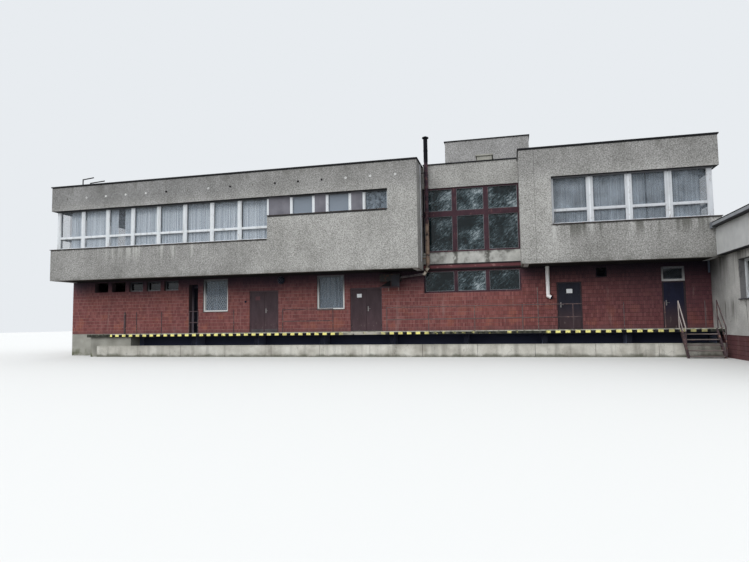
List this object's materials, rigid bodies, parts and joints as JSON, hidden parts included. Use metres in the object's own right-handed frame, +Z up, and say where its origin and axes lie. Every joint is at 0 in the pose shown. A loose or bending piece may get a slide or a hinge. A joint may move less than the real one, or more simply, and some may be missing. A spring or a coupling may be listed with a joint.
{
  "type": "factory building",
  "caption": "Two-storey factory with an overhanging upper floor, window bands, tiled ground floor with dock doors, loading dock, steel stair, flue and side wing.",
  "frame": {"origin": "on the ground under the middle of the main block", "axes": "+X to the right along the dock front, +Y from the dock front to the back, +Z up"},
  "size_m": [37.095, 22.095, 11.07],
  "materials": {
    "grey_render": "rough grey roughcast render with drip stains",
    "red_tile": "dark red stacked wall tiles, glossy, with orange and pale patches",
    "base_concrete": "plain grey concrete",
    "bay_concrete": "pale weathered concrete with dark streaks",
    "coping_metal": "black folded metal",
    "roof_felt": "grey bitumen felt",
    "white_frames": "white paint, peeling",
    "brown_frames": "red-brown paint, faded",
    "brown_panels": "brown-grey sheet, stained",
    "band_paint": "red-brown paint",
    "window_glass": "dusty clear glass",
    "sill_metal": "dark folded metal, stained",
    "recess_lining": "grey paint",
    "door_paint": "dark brown paint, scratched",
    "blue_grey_paint": "dark bluish grey paint, faded",
    "hinge_metal": "dark steel",
    "dock_concrete": "worn concrete with yellow and black edge stripes",
    "kerb_concrete": "pale precast concrete, dirty",
    "rail_paint": "brown-grey paint, rusty",
    "flue_metal": "black above, rusty and tan below, pale metal pipe at the foot",
    "heater_metal": "dark grey paint with a pale lower edge",
    "downpipe_plastic": "off-white plastic",
    "grille_paint": "blue-black paint",
    "lamp_paint": "blue-black paint",
    "annex_render": "smooth light grey render with stains and cracks",
    "fascia_paint": "smooth pale grey render",
    "gutter_metal": "grey sheet metal"
  },
  "bodies": {
    "building": {"foundation": "base_concrete", "ground_front_wall": "red_tile", "door_lintels": "red_tile", "ground_end_walls": "red_tile", "ground_back_wall": "red_tile", "upper_floor_slab": "base_concrete", "upper_front_walls": "grey_render", "upper_parapets": "grey_render", "upper_side_walls": "grey_render", "stair_bay_walls": "bay_concrete", "stair_bay_band": "band_paint", "upper_back_wall": "grey_render", "roof_slab": "roof_felt", "coping": "coping_metal", "roof_house_walls": "grey_render", "roof_house_top": "coping_metal", "roof_vent_box": "base_concrete", "roof_goosenecks": "coping_metal", "front_window_frames": "white_frames", "ribbon_panels": "brown_panels", "end_window_frames": "white_frames", "stair_window_frames": "brown_frames", "ground_window_frames": "white_frames", "back_window_frames": "white_frames", "upper_glass": "window_glass", "ground_glass": "window_glass", "window_sills": "sill_metal", "service_recess": "recess_lining", "door_frames": "door_paint", "door_hinges": "hinge_metal", "dock_slab": "dock_concrete", "dock_kerb": "kerb_concrete", "dock_supports": "base_concrete", "dock_posts": "rail_paint", "dock_rails": "rail_paint", "stair_stringers": "rail_paint", "stair_treads": "rail_paint", "stair_handrails": "rail_paint", "flue_pipe": "flue_metal", "wall_heater": "heater_metal", "downpipe": "downpipe_plastic", "vent_grille": "grille_paint", "wall_lamp": "lamp_paint", "annex_base": "red_tile", "annex_side_walls": "annex_render", "annex_end_walls": "annex_render", "annex_roof": "roof_felt", "annex_fascia": "fascia_paint", "annex_gutter": "gutter_metal", "annex_window_frames": "white_frames", "annex_glass": "window_glass"},
    "first_door_left_leaf": {"first_door_left_leaf": "door_paint"},
    "first_door_right_leaf": {"first_door_right_leaf": "door_paint"},
    "second_door_left_leaf": {"second_door_left_leaf": "door_paint"},
    "second_door_right_leaf": {"second_door_right_leaf": "door_paint"},
    "third_door_leaf": {"third_door_leaf": "blue_grey_paint"},
    "fourth_door_leaf": {"fourth_door_leaf": "blue_grey_paint"}
  },
  "joints": [
    {"name": "first_door_left_hinge", "type": "hinge", "parent": "building", "child": "first_door_left_leaf", "pos_m": [-5.062, -4.352, 2.12], "axis": [0, 0, -1], "range_deg": [0, 90]},
    {"name": "first_door_right_hinge", "type": "hinge", "parent": "building", "child": "first_door_right_leaf", "pos_m": [-3.653, -4.352, 2.12], "axis": [0, 0, 1], "range_deg": [0, 90]},
    {"name": "second_door_left_hinge", "type": "hinge", "parent": "building", "child": "second_door_left_leaf", "pos_m": [0.108, -4.352, 2.12], "axis": [0, 0, -1], "range_deg": [0, 90]},
    {"name": "second_door_right_hinge", "type": "hinge", "parent": "building", "child": "second_door_right_leaf", "pos_m": [1.517, -4.352, 2.12], "axis": [0, 0, 1], "range_deg": [0, 90]},
    {"name": "third_door_hinge", "type": "hinge", "parent": "building", "child": "third_door_leaf", "pos_m": [10.321, -4.352, 2.12], "axis": [0, 0, 1], "range_deg": [0, 90]},
    {"name": "fourth_door_hinge", "type": "hinge", "parent": "building", "child": "fourth_door_leaf", "pos_m": [14.372, -4.352, 2.12], "axis": [0, 0, 1], "range_deg": [0, 90]}
  ]
}
